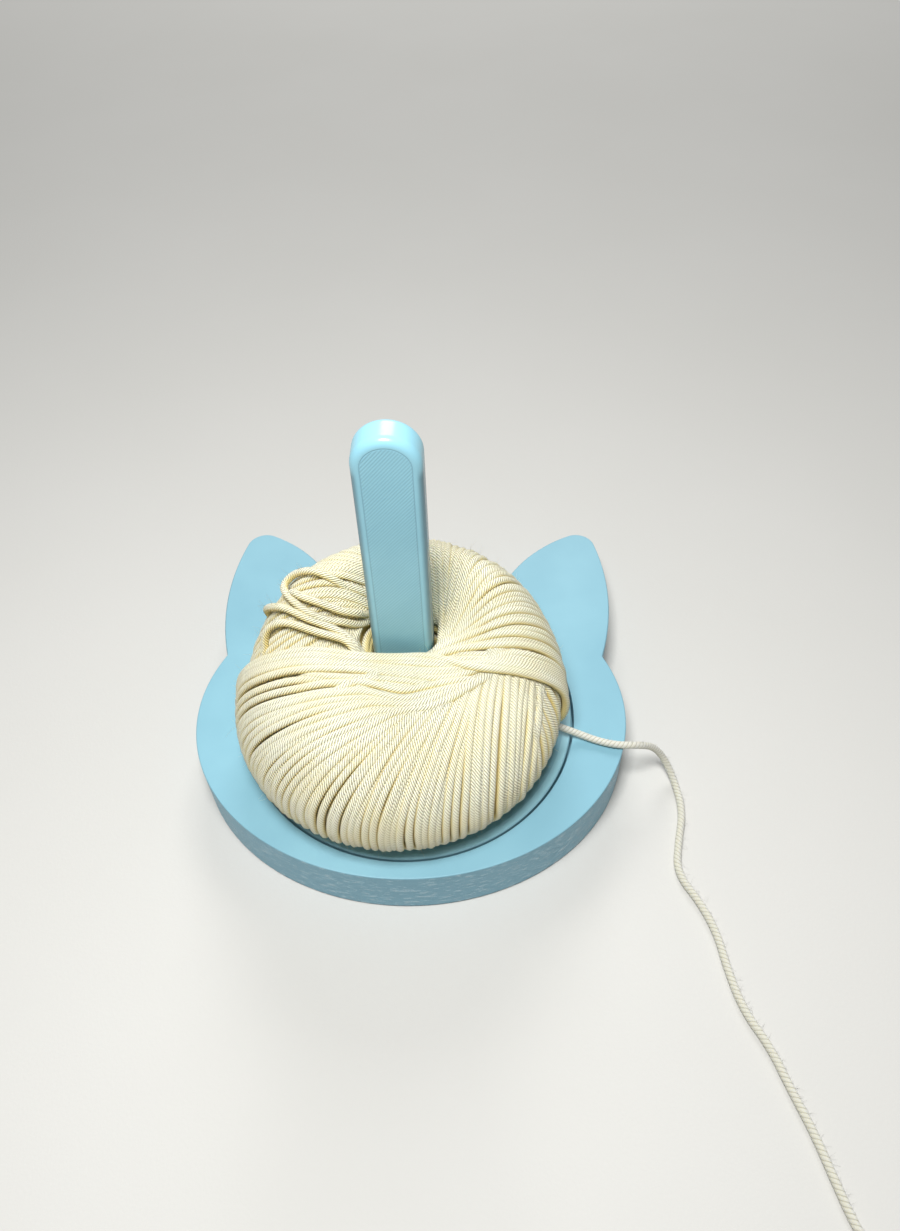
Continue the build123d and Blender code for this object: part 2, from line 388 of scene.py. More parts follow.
def dense_profile(points, count=1200):
    """The profile as a smooth line with evenly spaced points, by Catmull-Rom."""
    padded = np.vstack([2 * points[0] - points[1], points, 2 * points[-1] - points[-2]])
    line = []
    for k in range(len(points) - 1):
        p0, p1, p2, p3 = padded[k:k + 4]
        t = np.linspace(0, 1, 60, endpoint=False)[:, None]
        line.append(0.5 * (2 * p1 + (p2 - p0) * t + (2 * p0 - 5 * p1 + 4 * p2 - p3) * t ** 2
                           + (3 * p1 - p0 - 3 * p2 + p3) * t ** 3))
    line = np.vstack(line + [points[-1:]])
    along = arc_lengths(line)
    wanted = np.linspace(0, along[-1], count)
    return np.stack([np.interp(wanted, along, line[:, k]) for k in range(2)], axis=1)


def outward(profile):
    """The outward direction at each point of a dense profile."""
    return unit(np.stack([np.gradient(-profile[:, 1]), np.gradient(profile[:, 0])], axis=1))


BACK = dense_profile(BACK_PROFILE)
FRONT = dense_profile(FRONT_PROFILE)
BACK_OUT = outward(BACK)
FRONT_OUT = outward(FRONT)
WIDEST = int(np.argmax(BACK[:, 0]))


def frontness(angle):
    """1 on the low front of the ball, 0 on its high back."""
    return smooth(-np.sin(angle), -0.65, 0.2)


def looked_up(table, index):
    """A dense profile's rows at fractional places."""
    return np.stack([np.interp(index, np.arange(len(table)), table[:, k]) for k in range(2)], axis=-1)


def mixed(index, angle, back, front):
    """A profile's rows at a place and an angle about the ball."""
    share = frontness(angle)[..., None]
    return looked_up(back, index) * (1 - share) + looked_up(front, index) * share


POST_CLEARANCE = 0.4 * MM       # between a strand and the spindle


def clear_of_post(angle):
    """The least distance from the spin axis of a strand that passes the flat spindle."""
    across = (POST_HALF_WIDTH - POST_ROUND) * np.abs(np.cos(angle))
    along = (POST_HALF_DEPTH - POST_ROUND) * np.abs(np.sin(angle))
    return across + along + POST_ROUND + STRAND_RADIUS + POST_CLEARANCE


def surface(index, angle, depth):
    """Points of the ball's outside at a place on its profile, an angle and a depth below it."""
    profile = mixed(index, angle, BACK, FRONT)
    normal = unit(mixed(index, angle, BACK_OUT, FRONT_OUT))
    radius = profile[..., 0] - normal[..., 0] * depth
    height = profile[..., 1] - normal[..., 1] * depth
    shift = smooth(profile[..., 0], CENTRED, SHIFTED)
    x = SPIN[0] + BALL_CENTRE[0] * shift + radius * np.cos(angle)
    y = SPIN[1] + BALL_CENTRE[1] * shift + radius * np.sin(angle)
    return np.stack([x, y, height], axis=-1)


def surface_normals(index, angle):
    """The outward directions at those places."""
    normal = mixed(index, angle, BACK_OUT, FRONT_OUT)
    flat = normal[..., 0]
    return unit(np.stack([flat * np.cos(angle), flat * np.sin(angle), normal[..., 1]], axis=-1))


def shuffled_ranks(count):
    """Numbers from 0 to 1 that fill the range evenly, however many neighbours are taken."""
    ranks = np.zeros(count)
    for k in range(count):
        value, share, number = 0.0, 0.5, k
        while number:
            value += share * (number & 1)
            number >>= 1
            share /= 2
        ranks[k] = value
    return ranks


HALF_SAMPLES = 140


def wander(rng, wavelength, amount):
    """Slow random waves along each half loop. The wavelength is a share of its length."""
    knots = max(4, int(1.0 / wavelength) + 3)
    values = rng.normal(0, amount, (LOOPS, knots))
    where = np.linspace(0, knots - 1, HALF_SAMPLES)
    return np.array([np.interp(where, np.arange(knots), row) for row in values])


ALWAYS_SHOWN = 0.05                     # this share of the strands never sinks
SINK = 0.9 * MM                         # how far a strand with no room lies below the others
STRAND_ROOM = 1.76 * STRAND_RADIUS      # between neighbours that lie side by side
JOINED_LOOPS = 6                        # the newest loops, seen whole in front of the spindle
JOINED_UNTIL = 0.18                     # a joined loop's halves go apart over this share of their length
HOLE_BELOW = 14.0 * MM                  # the hole's radius underneath
NEAREST = 0.999                         # a line's distance from the axis over the ball's radius, at most
BORDER = 0.5 * MM                       # a strand sinks as its room shrinks by twice this
CREST_HEIGHT = 1.6 * MM                 # the newest loops stand this far out in front of the spindle
CREST_LENGTH = 26 * MM
CREST_LOOPS = 4
EVENED_OVER = 5                         # neighbours on each side that share out the width
EVENING = 0.9                           # how much of the way they are moved
MOST_MOVED = 0.8 * MM
REACH_SPREAD = 0.4 * MM                 # uneven distances from the spindle
# Where the strands lie on top of the ball: a loop's place in the winding, then the direction that
# its line faces, in degrees, and the line's distance from the spin axis in millimetres.
CLOCKWISE_LINES = [
    (-106, -101, 9.6),
    (-98, -103, 13.5),
    (-84, -93, 21.5),
    (-75, -84, 23.0),
    (-62, -73, 25.0),
    (-45, -57, 24.0),
    (-29, -41, 23.0),
    (-4, -21, 24.5),
    (14, -5, 27.0),
    (32, -3, 38.0),
    (48, -8, 48.0),
    (60, 20, 34.0),
    (75, 72, 14.0),
    (90, 90, 12.0),
    (180, 180, 14.0),
    (254, 254, 10.0),
]
COUNTER_LINES = [
    (-106, -74, 18.0),
    (-102, -76, 15.0),
    (-94, -73, 12.0),
    (-89, -70, 11.0),
    (-81, -61, 9.5),
    (-70, -52, 8.8),
    (-38, -22, 9.8),
    (-28, -15, 9.5),
    (5, 18, 9.0),
    (40, 42, 8.5),
    (72, 74, 13.5),
    (80, 80, 9.0),
    (110, 104, 10.0),
    (140, 132, 12.0),
    (180, 175, 14.0),
    (254, 250, 12.0),
]


def drawn_lines(table, places, rng):
    """Each loop's direction and its distance from the spin axis, read from one of the tables."""
    known, faces, reaches = np.array(table, float).T
    face = np.radians(np.interp(np.degrees(places), known, faces))
    reach = np.interp(np.degrees(places), known, reaches) * MM + np.abs(rng.normal(0, REACH_SPREAD, LOOPS))
    return face, np.maximum(reach, clear_of_post(face))


def half_loops(sign, ranks, ages, face, reach, middle_face, middle_reach):
    """One half of every loop, from the top of the hole down to its bottom.

    sign is -1 for the half that runs clockwise from the hole and 1 for the other.
    """
    travel = np.linspace(0, 1, HALF_SAMPLES)
    travel = travel * travel * (3 - 2 * travel)
    joined_loops = (ages < (JOINED_LOOPS - 0.5) * STEP)[:, None]
    share = joined_loops * (1 - smooth(travel, 0, JOINED_UNTIL))[None, :]
    face_here = face[:, None] * (1 - share) + middle_face[:, None] * share
    reach_here = reach[:, None] * (1 - share) + middle_reach[:, None] * share
    radii = BACK[:, 0]
    first = np.interp(reach_here[:, 0], radii[:WIDEST], np.arange(WIDEST))
    last = WIDEST + np.interp(-HOLE_BELOW, -radii[WIDEST:], np.arange(len(radii) - WIDEST))
    index = first[:, None] + (last - first)[:, None] * travel[None, :]
    angle = np.broadcast_to(face[:, None], index.shape)
    for _ in range(4):
        profile = mixed(index, angle, BACK, FRONT)[..., 0]
        lean = 1 - 2 * smooth(index, WIDEST, last)
        offset = np.where(lean > 0, reach_here, HOLE_BELOW) * lean
        offset = np.clip(offset, -NEAREST * profile, NEAREST * profile)
        angle = face_here + sign * np.arccos(offset / profile)
    along = np.sqrt(profile ** 2 - offset ** 2)
    # the width that each strand has to itself there, and which strands can lie on top
    pitch = np.gradient(reach_here, axis=0) - sign * along * np.gradient(face_here, axis=0)
    shown = smooth(np.abs(pitch) - ranks[:, None] * STRAND_ROOM, -BORDER, BORDER)
    shown = np.maximum(shown, (ranks < ALWAYS_SHOWN)[:, None])
    shown = np.maximum(shown, joined_loops)
    newest = smooth(-ages[:, None], -CREST_LOOPS * STEP, 0)
    depth = RAMP * (ages[:, None] / TURN) + (1 - shown) * SINK
    depth = depth - CREST_HEIGHT * newest * np.exp(-(along / CREST_LENGTH) ** 2)
    # the strands on top share the width evenly
    width = (shown + np.roll(shown, 1, axis=0)) / 2
    order = np.cumsum(width, axis=0)
    drift = order / order[-1:] * LOOPS - (np.arange(LOOPS)[:, None] + 1)
    neighbours = range(-EVENED_OVER, EVENED_OVER + 1)
    drift -= sum(np.roll(drift, shift, axis=0) for shift in neighbours) / len(neighbours)
    sideways = np.clip(EVENING * drift * pitch, -MOST_MOVED, MOST_MOVED) * (1 - joined_loops)
    return index, angle, depth, sideways


START_PLACES = 12
START_SPACING = 2.6 * MM
START_DIP = 3.6 * MM                    # how far a start goes below the surface
START_SLOPE = 12 * MM                   # the dip is spread over this length
START_BEND = 0.42                       # in front of the spindle the starts bend round its foot
START_STRAIGHT = 4 * MM
START_COVER = 19 * MM                   # at the front a start stays on top for this length
START_COVER_LEAST = 3 * MM              # and a counter-clockwise one for this much elsewhere


def turned_to(face, low, high):
    """0 to 1 as a line's direction turns from low to high, in degrees from the right to the front."""
    return smooth(-face, math.radians(low), math.radians(high))


def hidden_start(sign, face, reach, depth):
    """A few more places behind a half loop's start, where it dips below its neighbours.

    It stays on top for longer in front of the spindle, where the starts are in full view.
    """
    beyond = np.arange(START_PLACES, 0, -1) * START_SPACING
    if sign < 0:
        covered = START_COVER * turned_to(face, 35, 75)
    else:
        more = START_COVER - START_COVER_LEAST
        covered = START_COVER_LEAST + more * turned_to(face, 48, 60)
    bend = START_BEND * turned_to(face, 55, 75) * (sign < 0)
    reach_here = reach[:, None] - bend[:, None] * np.maximum(beyond - START_STRAIGHT, 0)[None, :]
    radius = np.hypot(reach_here, beyond[None, :])
    index = np.interp(radius, BACK[:WIDEST, 0], np.arange(WIDEST))
    angle = face[:, None] - sign * np.arctan2(beyond[None, :], reach_here)
    dip = START_DIP * smooth(beyond[None, :] - covered[:, None], 0, START_SLOPE)
    return index, angle, depth[:, :1] + dip


WAVE_LENGTH, WAVE_SIZE = 0.25, 0.16 * MM    # small sideways waves of each strand
LIFT_LENGTH, LIFT_SIZE = 0.2, 0.10 * MM     # and up and down
JITTER = 0.12                               # uneven steps between loops, in steps
SWAY, SWAY_PACE = 0.25, 0.9                 # and slow swings of them
RANK_JITTER = 0.04
HALVES_APART = 31                           # the two halves of a loop sink in different places


def wound_strands():
    """The middle lines and outward directions of the strands, oldest first."""
    rng = np.random.default_rng(11)
    number = np.arange(LOOPS)
    ages = TURN - (number + 1) * STEP
    jitter = rng.normal(0, JITTER * STEP, LOOPS) + SWAY * STEP * np.sin(number * SWAY_PACE)
    places = LAST_LOOP + ages + jitter
    ranks = (shuffled_ranks(LOOPS) + rng.uniform(-RANK_JITTER, RANK_JITTER, LOOPS)) % 1.0
    drawn = {
        1: drawn_lines(COUNTER_LINES, places, rng),
        -1: drawn_lines(CLOCKWISE_LINES, places, rng),
    }
    level = 0.5 * np.clip(1 - ages / (JOINED_LOOPS * STEP), 0, 1)
    middle = drawn[1][0] * level + drawn[-1][0] * (1 - level), drawn[-1][1]
    travel = np.linspace(0, 1, HALF_SAMPLES)
    fade = np.minimum(1, 8 * travel * (1 - travel))
    halves = {}
    for sign, order in ((1, np.roll(ranks, HALVES_APART)), (-1, ranks)):
        face, reach = drawn[sign]
        index, angle, depth, sideways = half_loops(sign, order, ages, face, reach, *middle)
        points = surface(index, angle, depth)
        normals = surface_normals(index, angle)
        across = np.cross(unit(np.gradient(points, axis=1)), normals)
        waves = wander(rng, WAVE_LENGTH, WAVE_SIZE)
        lifts = wander(rng, LIFT_LENGTH, LIFT_SIZE)
        points = points + across * (sideways * sign * fade + waves * fade)[:, :, None]
        points = points + normals * (lifts * fade)[:, :, None]
        starts = hidden_start(sign, face, reach, depth)
        halves[sign] = points, normals, surface(*starts), surface_normals(*starts[:2])
    strands = []
    for k in range(LOOPS):
        if ages[k] < (JOINED_LOOPS - 0.5) * STEP:
            line = np.concatenate([halves[1][0][k, :0:-1], halves[-1][0][k]])
            normal = np.concatenate([halves[1][1][k, :0:-1], halves[-1][1][k]])
            strands.append((line, normal))
            continue
        for points, normals, start_points, start_normals in halves.values():
            line = np.concatenate([start_points[k], points[k]])
            normal = np.concatenate([start_normals[k], normals[k]])
            strands.append((line, normal))
    return strands


# Strands placed one by one: the height of each above the ball's surface, then its route about the
# spin axis, all in millimetres. The first three fill gaps near the spindle.
STRAYS = [
    (-0.3, [(16, -19), (11, -18.4), (5, -17.8), (-1, -17), (-7, -16.4), (-14, -16), (-22, -16),
            (-30, -16), (-37, -16)]),
    (-1.0, [(2, -11), (7, -10), (12, -9), (16, -9), (20, -9), (25, -9), (31, -9), (37, -11), (42, -14)]),
    (-1.3, [(4, -9), (9, -8), (14, -7), (19, -7), (24, -7), (30, -7), (36, -8), (42, -11)]),
    (0.9, [(-10, 6), (-14, 3), (-22, 1), (-30, 3), (-36, 8), (-39, 14), (-37, 18), (-30, 16),
           (-21, 13), (-12, 12)]),
    (1.15, [(-12, -9), (-13, -6), (-16, -2), (-21, 0), (-29, 1), (-35, 4), (-41, 7), (-46, 11), (-48, 17)]),
    (1.4, [(-13, -9), (-14, -6), (-17, -3), (-26, -2), (-34, 0), (-39, 1), (-44, 0), (-47, -4)]),
    (1.65, [(-10, 8), (-15, 5), (-19, 4), (-24, 5), (-30, 6), (-35, 9), (-38, 14)]),
]
STRAY_DIP = 4.6 * MM        # how far their ends go down into the ball
STRAY_END = 0.15            # over this share of their length


def stray_strands():
    """The strands that are placed one by one."""
    strands = []
    for height, route in STRAYS:
        flat = np.array(smooth_line([(x * MM, y * MM, 0.0) for x, y in route]))[:, :2]
        shift = smooth(np.hypot(*flat.T), CENTRED, SHIFTED)[:, None]
        flat = flat - np.array(BALL_CENTRE) * shift
        radius = np.hypot(*flat.T)
        angle = np.arctan2(flat[:, 1], flat[:, 0])
        index = np.interp(radius, BACK[:WIDEST, 0], np.arange(WIDEST))
        along = np.linspace(0, 1, len(radius))
        dip = STRAY_DIP * (1 - smooth(along, 0, STRAY_END) * smooth(-along, -1, STRAY_END - 1))
        depth = dip - height * MM
        strands.append((surface(index, angle, depth), surface_normals(index, angle)))
    return strands


LINING_RINGS = 13
LINING_TOP = 57 * MM
LINING_STEP = 2.3 * MM
LINING_TILT = 3.0 * MM
LINING_SPREAD = 2.2 * MM
LINING_WAVE = 0.5 * MM
LINING_ARC = 0.97           # each ring is this much of a turn
LINING_POINTS = 70
LINING_RISE = 0.4           # how far its outward direction points up


def lining_strands():
    """The strands that go round the spindle inside the ball's hole."""
    rng = np.random.default_rng(5)
    strands = []
    turn = np.linspace(0, TURN * LINING_ARC, LINING_POINTS)
    for k in range(LINING_RINGS):
        start = rng.uniform(0, TURN)
        angle = turn + start
        spread = rng.uniform(0, LINING_SPREAD)
        face_reach = clear_of_post(angle) + spread + LINING_WAVE * np.sin(angle * 2 + start)
        slope = np.gradient(face_reach, angle)
        x = face_reach * np.cos(angle) - slope * np.sin(angle)
        y = face_reach * np.sin(angle) + slope * np.cos(angle)
        tilt = rng.uniform(-LINING_TILT, LINING_TILT) * np.sin(angle + start)
        height = LINING_TOP - LINING_STEP * k + tilt
        line = np.stack([SPIN[0] + x, SPIN[1] + y, height], axis=1)
        normal = unit(np.stack([np.cos(angle), np.sin(angle), np.full_like(angle, LINING_RISE)], axis=1))
        strands.append((line, normal))
    return strands


def softened(line, rounds):
    """The line with its kinks eased, its ends kept."""
    line = line.copy()
    for _ in range(rounds):
        line[1:-1] += 0.5 * ((line[:-2] + line[2:]) / 2 - line[1:-1])
    return line


def add_strands(name, strands):
    """A piece made of many strands."""
    parts = []
    start = 0
    for line, normal in strands:
        line, normal = resample(line, STRAND_SPACING, normal)
        line = softened(line, 2)
        part = tube_parts(line, normal, STRAND_RADIUS, STRAND_SIDES, STRAND_LAY, start)
        start += len(part[0])
        parts.append(part)
    obj = add_mesh(name, *joined(parts))
    close_ends(obj)
    return obj


CORE_SIDES = 96
CORE_ROWS = 60
CORE_HOLE = 13 * MM
CORE_DEPTH = 3.3 * MM       # below the outer strands' middles, at the front
CORE_DEEPER = 1.4 * MM      # and this much more at the back
CORE_CLEAR = 1.5 * MM       # above the turntable


def add_core():
    """The older windings below the shown ones, as one closed body with a hole for the spindle."""
    sides = CORE_SIDES
    inner = int(np.interp(CORE_HOLE, BACK[:WIDEST, 0], np.arange(WIDEST)))
    outer = WIDEST + int(np.interp(-CORE_HOLE, -BACK[WIDEST:, 0], np.arange(len(BACK) - WIDEST)))
    index = np.linspace(inner, outer, CORE_ROWS)
    angles = np.arange(sides) * TURN / sides
    grid, turn = np.meshgrid(index, angles, indexing="ij")
    sunk = CORE_DEPTH + CORE_DEEPER * smooth(np.sin(turn), -0.4, 0.7)
    verts = surface(grid, turn, sunk)
    verts[..., 2] = np.maximum(verts[..., 2], TOP + CORE_CLEAR)
    rows, cols = np.meshgrid(np.arange(len(index)), np.arange(sides), indexing="ij")
    a = rows * sides + cols
    b = rows * sides + (cols + 1) % sides
    c = ((rows + 1) % len(index)) * sides + (cols + 1) % sides
    d = ((rows + 1) % len(index)) * sides + cols
    faces = np.stack([a, b, c, d], axis=-1).reshape(-1, 4)
    return add_mesh("yarn_ball_core", verts.reshape(-1, 3), faces)


BALL_FIBRES = 2600
BALL_FIBRE_LENGTH = 3.6 * MM
STRAY_SHARE = 8             # a stray strand has this many times another strand's fibres


def add_ball():
    """The wound ball's pieces."""
    strands = wound_strands()
    pieces = [add_core()]
    thirds = {"first": strands[0::3], "second": strands[1::3], "third": strands[2::3]}
    for label, chosen in thirds.items():
        pieces.append(add_strands(f"yarn_ball_{label}_windings", chosen))
    loose = stray_strands()
    pieces.append(add_strands("yarn_ball_strays", loose))
    lines, normals = zip(*(strands + loose * STRAY_SHARE))
    fibres = add_fibres(
        "yarn_ball_fibres",
        lines,
        normals,
        BALL_FIBRES,
        STRAND_RADIUS,
        BALL_FIBRE_LENGTH,
        seed=3,
    )
    pieces.append(fibres)
    pieces.append(add_strands("yarn_ball_hole_lining", lining_strands()))
    for piece in pieces:
        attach(piece, "yarn_ball")
    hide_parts("yarn_ball")
    return pieces


ball_pieces = add_ball()
for yarn in (tail, tail_fibres):
    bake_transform(yarn)


# ---- materials ----
def linear(red, green, blue):
    """A colour given as it looks on screen, in the shader's own scale."""
    def lift(value):
        return value / 12.92 if value <= 0.04045 else ((value + 0.055) / 1.055) ** 2.4
    return (lift(red / 255), lift(green / 255), lift(blue / 255), 1.0)


class Finish:
    """A material and the nodes that make it."""

    def __init__(self, name, **fixed):
        self.material = bpy.data.materials.new(name)
        self.material.use_nodes = True
        self.tree = self.material.node_tree
        self.tree.nodes.clear()
        self.shader = self.add("ShaderNodeBsdfPrincipled")
        out = self.add("ShaderNodeOutputMaterial")
        self.tree.links.new(self.shader.outputs[0], out.inputs["Surface"])
        for socket, value in fixed.items():
            self.shader.inputs[socket.replace("_", " ")].default_value = value

    def add(self, kind, **settings):
        """A node with its settings."""
        node = self.tree.nodes.new(kind)
        for key, value in settings.items():
            setattr(node, key, value)
        return node

    def put(self, socket, value):
        """A link or a plain value into a socket."""
        if isinstance(value, bpy.types.NodeSocket):
            self.tree.links.new(value, socket)
        else:
            socket.default_value = value

    def math(self, operation, *values):
        """One arithmetic step."""
        node = self.add("ShaderNodeMath", operation=operation)
        for socket, value in zip(node.inputs, values):
            self.put(socket, value)
        return node.outputs[0]

    def place(self):
        """The point on the object, in metres, as three numbers."""
        where = self.add("ShaderNodeTexCoord").outputs["Object"]
        split = self.add("ShaderNodeSeparateXYZ")
        self.put(split.inputs[0], where)
        return where, split.outputs

    def product(self, *values):
        """Numbers multiplied together, two at a time from the left."""
        result = values[0]
        for value in values[1:]:
            result = self.math("MULTIPLY", result, value)
        return result

    def inverse(self, value):
        """One less the value."""
        return self.math("SUBTRACT", 1.0, value)

    def length(self, first, second):
        """The length of two numbers at right angles."""
        squares = self.product(first, first), self.product(second, second)
        return self.math("SQRT", self.math("ADD", *squares))

    def noise(self, where, scale, detail=2.0, rough=0.5):
        """Cloudy noise, with this many lumps to the metre."""
        node = self.add("ShaderNodeTexNoise")
        self.put(node.inputs["Vector"], where)
        for socket, value in (("Scale", scale), ("Detail", detail), ("Roughness", rough)):
            node.inputs[socket].default_value = value
        return node.outputs["Fac"]

    def between(self, value, low, high):
        """0 at low, 1 at high, and smooth between."""
        node = self.add("ShaderNodeMapRange", interpolation_type="SMOOTHSTEP")
        self.put(node.inputs["Value"], value)
        node.inputs["From Min"].default_value = low
        node.inputs["From Max"].default_value = high
        return node.outputs["Result"]

    def scaled(self, value, low, high):
        """A 0 to 1 value taken to run from low to high."""
        node = self.add("ShaderNodeMapRange")
        self.put(node.inputs["Value"], value)
        node.inputs["To Min"].default_value = low
        node.inputs["To Max"].default_value = high
        return node.outputs["Result"]

    def mix(self, share, first, second):
        """One colour turning into another."""
        node = self.add("ShaderNodeMix", data_type="RGBA")
        self.put(node.inputs["Factor"], share)
        self.put(node.inputs["A"], first)
        self.put(node.inputs["B"], second)
        return node.outputs["Result"]

    def waves(self, value, pitch):
        """Ridges this far apart, from 0 to 1."""
        turned = self.math("MULTIPLY", value, TURN / pitch)
        return self.math("MULTIPLY_ADD", self.math("SINE", turned), 0.5, 0.5)

    def colour(self, value):
        """The shader's base colour."""
        self.put(self.shader.inputs["Base Color"], value)

    def rough(self, value):
        """The shader's roughness."""
        self.put(self.shader.inputs["Roughness"], value)

    def bumps(self, *layers):
        """Relief, as pairs of a 0 to 1 height and its real depth in metres."""
        normal = None
        for height, depth in layers:
            node = self.add("ShaderNodeBump")
            node.inputs["Distance"].default_value = depth
            self.put(node.inputs["Height"], height)
            if normal is not None:
                self.put(node.inputs["Normal"], normal)
            normal = node.outputs["Normal"]
        self.put(self.shader.inputs["Normal"], normal)


# The yarn's crest colour is its own; the side colour is painted shade on each strand's sides, between
# strands, and the groove colour is painted shade in the grooves between plies.
YARN_CREST = linear(255, 253, 226)
YARN_SIDE_SHADE = linear(252, 230, 152)
YARN_GROOVE_SHADE = linear(186, 173, 120)
# The loose end's three colours are the same yarn painted darker and greyer, as shade on the side of it that
# is seen.
TAIL_CREST_SHADED = linear(214, 213, 203)
TAIL_SIDE_SHADED = linear(202, 200, 185)
TAIL_GROOVE_SHADED = linear(170, 166, 146)


def yarn_finish(name, crest, side, groove, plies, depth):
    """Soft plied yarn: a helix of grooves, fine fibres, and painted shade low between strands and in the
    grooves.
    """
    finish = Finish(
        name,
        Roughness=0.82,
        Sheen_Weight=0.25,
        Sheen_Roughness=0.5,
        Specular_IOR_Level=0.25,
        Subsurface_Weight=0.15,
        Subsurface_Scale=1.2 * MM,
        Subsurface_Radius=(1.0, 0.85, 0.5),
    )
    uv = finish.add("ShaderNodeUVMap", uv_map="yarn").outputs["UV"]
    split = finish.add("ShaderNodeSeparateXYZ")
    finish.put(split.inputs[0], uv)
    along, around = split.outputs[0], split.outputs[1]
    where = finish.place()[0]
    loose = finish.math("MULTIPLY_ADD", finish.noise(where, 600.0), 0.24, -0.12)
    phase = finish.math("ADD", around, along)
    turned = finish.math("ADD", finish.product(phase, math.pi * plies), loose)
    ply = finish.math("ABSOLUTE", finish.math("COSINE", turned))
    relief = finish.math("POWER", ply, 0.6)
    # painted shade: a strand's outward top takes the crest colour and its sides the side colour, darker
    # between strands
    facing = finish.math("COSINE", finish.product(around, TURN))
    top = finish.between(finish.math("MULTIPLY_ADD", facing, 0.5, 0.5), 0.45, 0.95)
    fibres = finish.noise(where, 5200.0, detail=3.0, rough=0.7)
    shade = finish.mix(top, side, crest)
    # painted shade: the groove colour in the grooves between plies
    grooves = finish.product(finish.inverse(finish.between(ply, 0.05, 0.65)), 0.8)
    cloudy = finish.product(finish.between(finish.noise(where, 90.0), 0.3, 0.75), 0.25)
    finish.colour(finish.mix(cloudy, finish.mix(grooves, shade, groove), side))
    finish.bumps((relief, depth), (fibres, 0.05 * MM))
    return finish.material


BLUE = linear(134, 182, 197)
BLUE_DEEP = linear(125, 173, 189)
POST_BLUE = linear(153, 208, 224)
POST_DEEP = linear(143, 198, 215)
# a lighter blue, a painted sheen on the turntable's smooth rim band
BLUE_BAND_SHEEN = linear(143, 190, 203)
# painted shade: the base's upright sides are coloured darker than its top
BLUE_SIDE_SHADE = linear(126, 172, 190)
# painted shade for the spindle's left and right sides
BLUE_EDGE_SHADE = linear(84, 122, 136)
SPECK = linear(96, 140, 160)
# a pale blue painted highlight for the glossy streaks on the base's sides
PAINTED_GLINT = linear(200, 230, 240)


def speckled(finish, where, colour):
    """A few tiny dark specks in a printed face."""
    cells = finish.add("ShaderNodeTexVoronoi")
    finish.put(cells.inputs["Vector"], where)
    cells.inputs["Scale"].default_value = 90.0
    near = finish.inverse(finish.between(cells.outputs["Distance"], 0.02, 0.045))
    rare = finish.between(finish.noise(where, 37.0), 0.66, 0.7)
    return finish.mix(finish.product(near, rare), colour, SPECK)


def cloudy_blue(finish, where, scale, first, second):
    """Two close blues that drift into one another."""
    cloud = finish.noise(where, scale, detail=3.0)
    return finish.mix(finish.between(cloud, 0.3, 0.7), first, second)


def base_finish():
    """Smooth light-blue plastic on top, and printed layers round the sides, which are painted darker as
    shade and streaked with painted highlights.
    """
    finish = Finish("base_plastic", Roughness=0.5, Specular_IOR_Level=0.4)
    where, place = finish.place()
    colour = speckled(finish, where, cloudy_blue(finish, where, 24.0, BLUE, BLUE_DEEP))
    normal = finish.add("ShaderNodeSeparateXYZ")
    finish.put(normal.inputs[0], finish.add("ShaderNodeNewGeometry").outputs["Normal"])
    side = finish.inverse(finish.between(finish.math("ABSOLUTE", normal.outputs[2]), 0.2, 0.6))
    layers = finish.waves(place[2], 0.28 * MM)
    # glossy streaks that run along the layers: a real lower roughness and bump, and a pale painted
    # highlight colour
    squashed = finish.add("ShaderNodeVectorMath", operation="MULTIPLY")
    finish.put(squashed.inputs[0], where)
    squashed.inputs[1].default_value = (0.35, 0.35, 1.6)
    patch = finish.between(finish.noise(squashed.outputs[0], 900.0), 0.57, 0.64)
    shiny = finish.product(side, patch)
    # painted shade: the side faces turn to a darker blue
    side_shaded = finish.mix(finish.product(side, 0.85), colour, BLUE_SIDE_SHADE)
    finish.colour(finish.mix(finish.product(shiny, 0.5), side_shaded, PAINTED_GLINT))
    finish.rough(finish.scaled(shiny, 0.5, 0.2))
    finish.bumps(
        (finish.product(layers, side), 0.035 * MM),
        (finish.product(patch, side), 0.06 * MM),
        (finish.noise(where, 2600.0), 0.006 * MM),
    )
    return finish.material


def turntable_finish():
    """A smooth band of round print lines at the rim, coloured lighter as a painted sheen, and fine straight
    lines inside it.
    """
    finish = Finish("turntable_plastic", Roughness=0.4, Specular_IOR_Level=0.5)
    where, place = finish.place()
    x, y = place[0], place[1]
    radius = finish.length(finish.math("SUBTRACT", x, SPIN[0]), finish.math("SUBTRACT", y, SPIN[1]))
    band = finish.between(radius, PLATE_RADIUS - 2.9 * MM, PLATE_RADIUS - 2.6 * MM)
    lines = finish.waves(finish.math("ADD", x, y), 0.62 * MM)
    rings = finish.waves(radius, 0.45 * MM)
    # the rim band's print rings and lower roughness are real; its lighter blue is a painted sheen
    finish.colour(finish.mix(band, cloudy_blue(finish, where, 24.0, BLUE, BLUE_DEEP), BLUE_BAND_SHEEN))
    finish.rough(finish.scaled(band, 0.33, 0.48))
    finish.bumps(
        (finish.product(lines, finish.inverse(band)), 0.012 * MM),
        (finish.product(rings, band), 0.006 * MM),
    )
    return finish.material


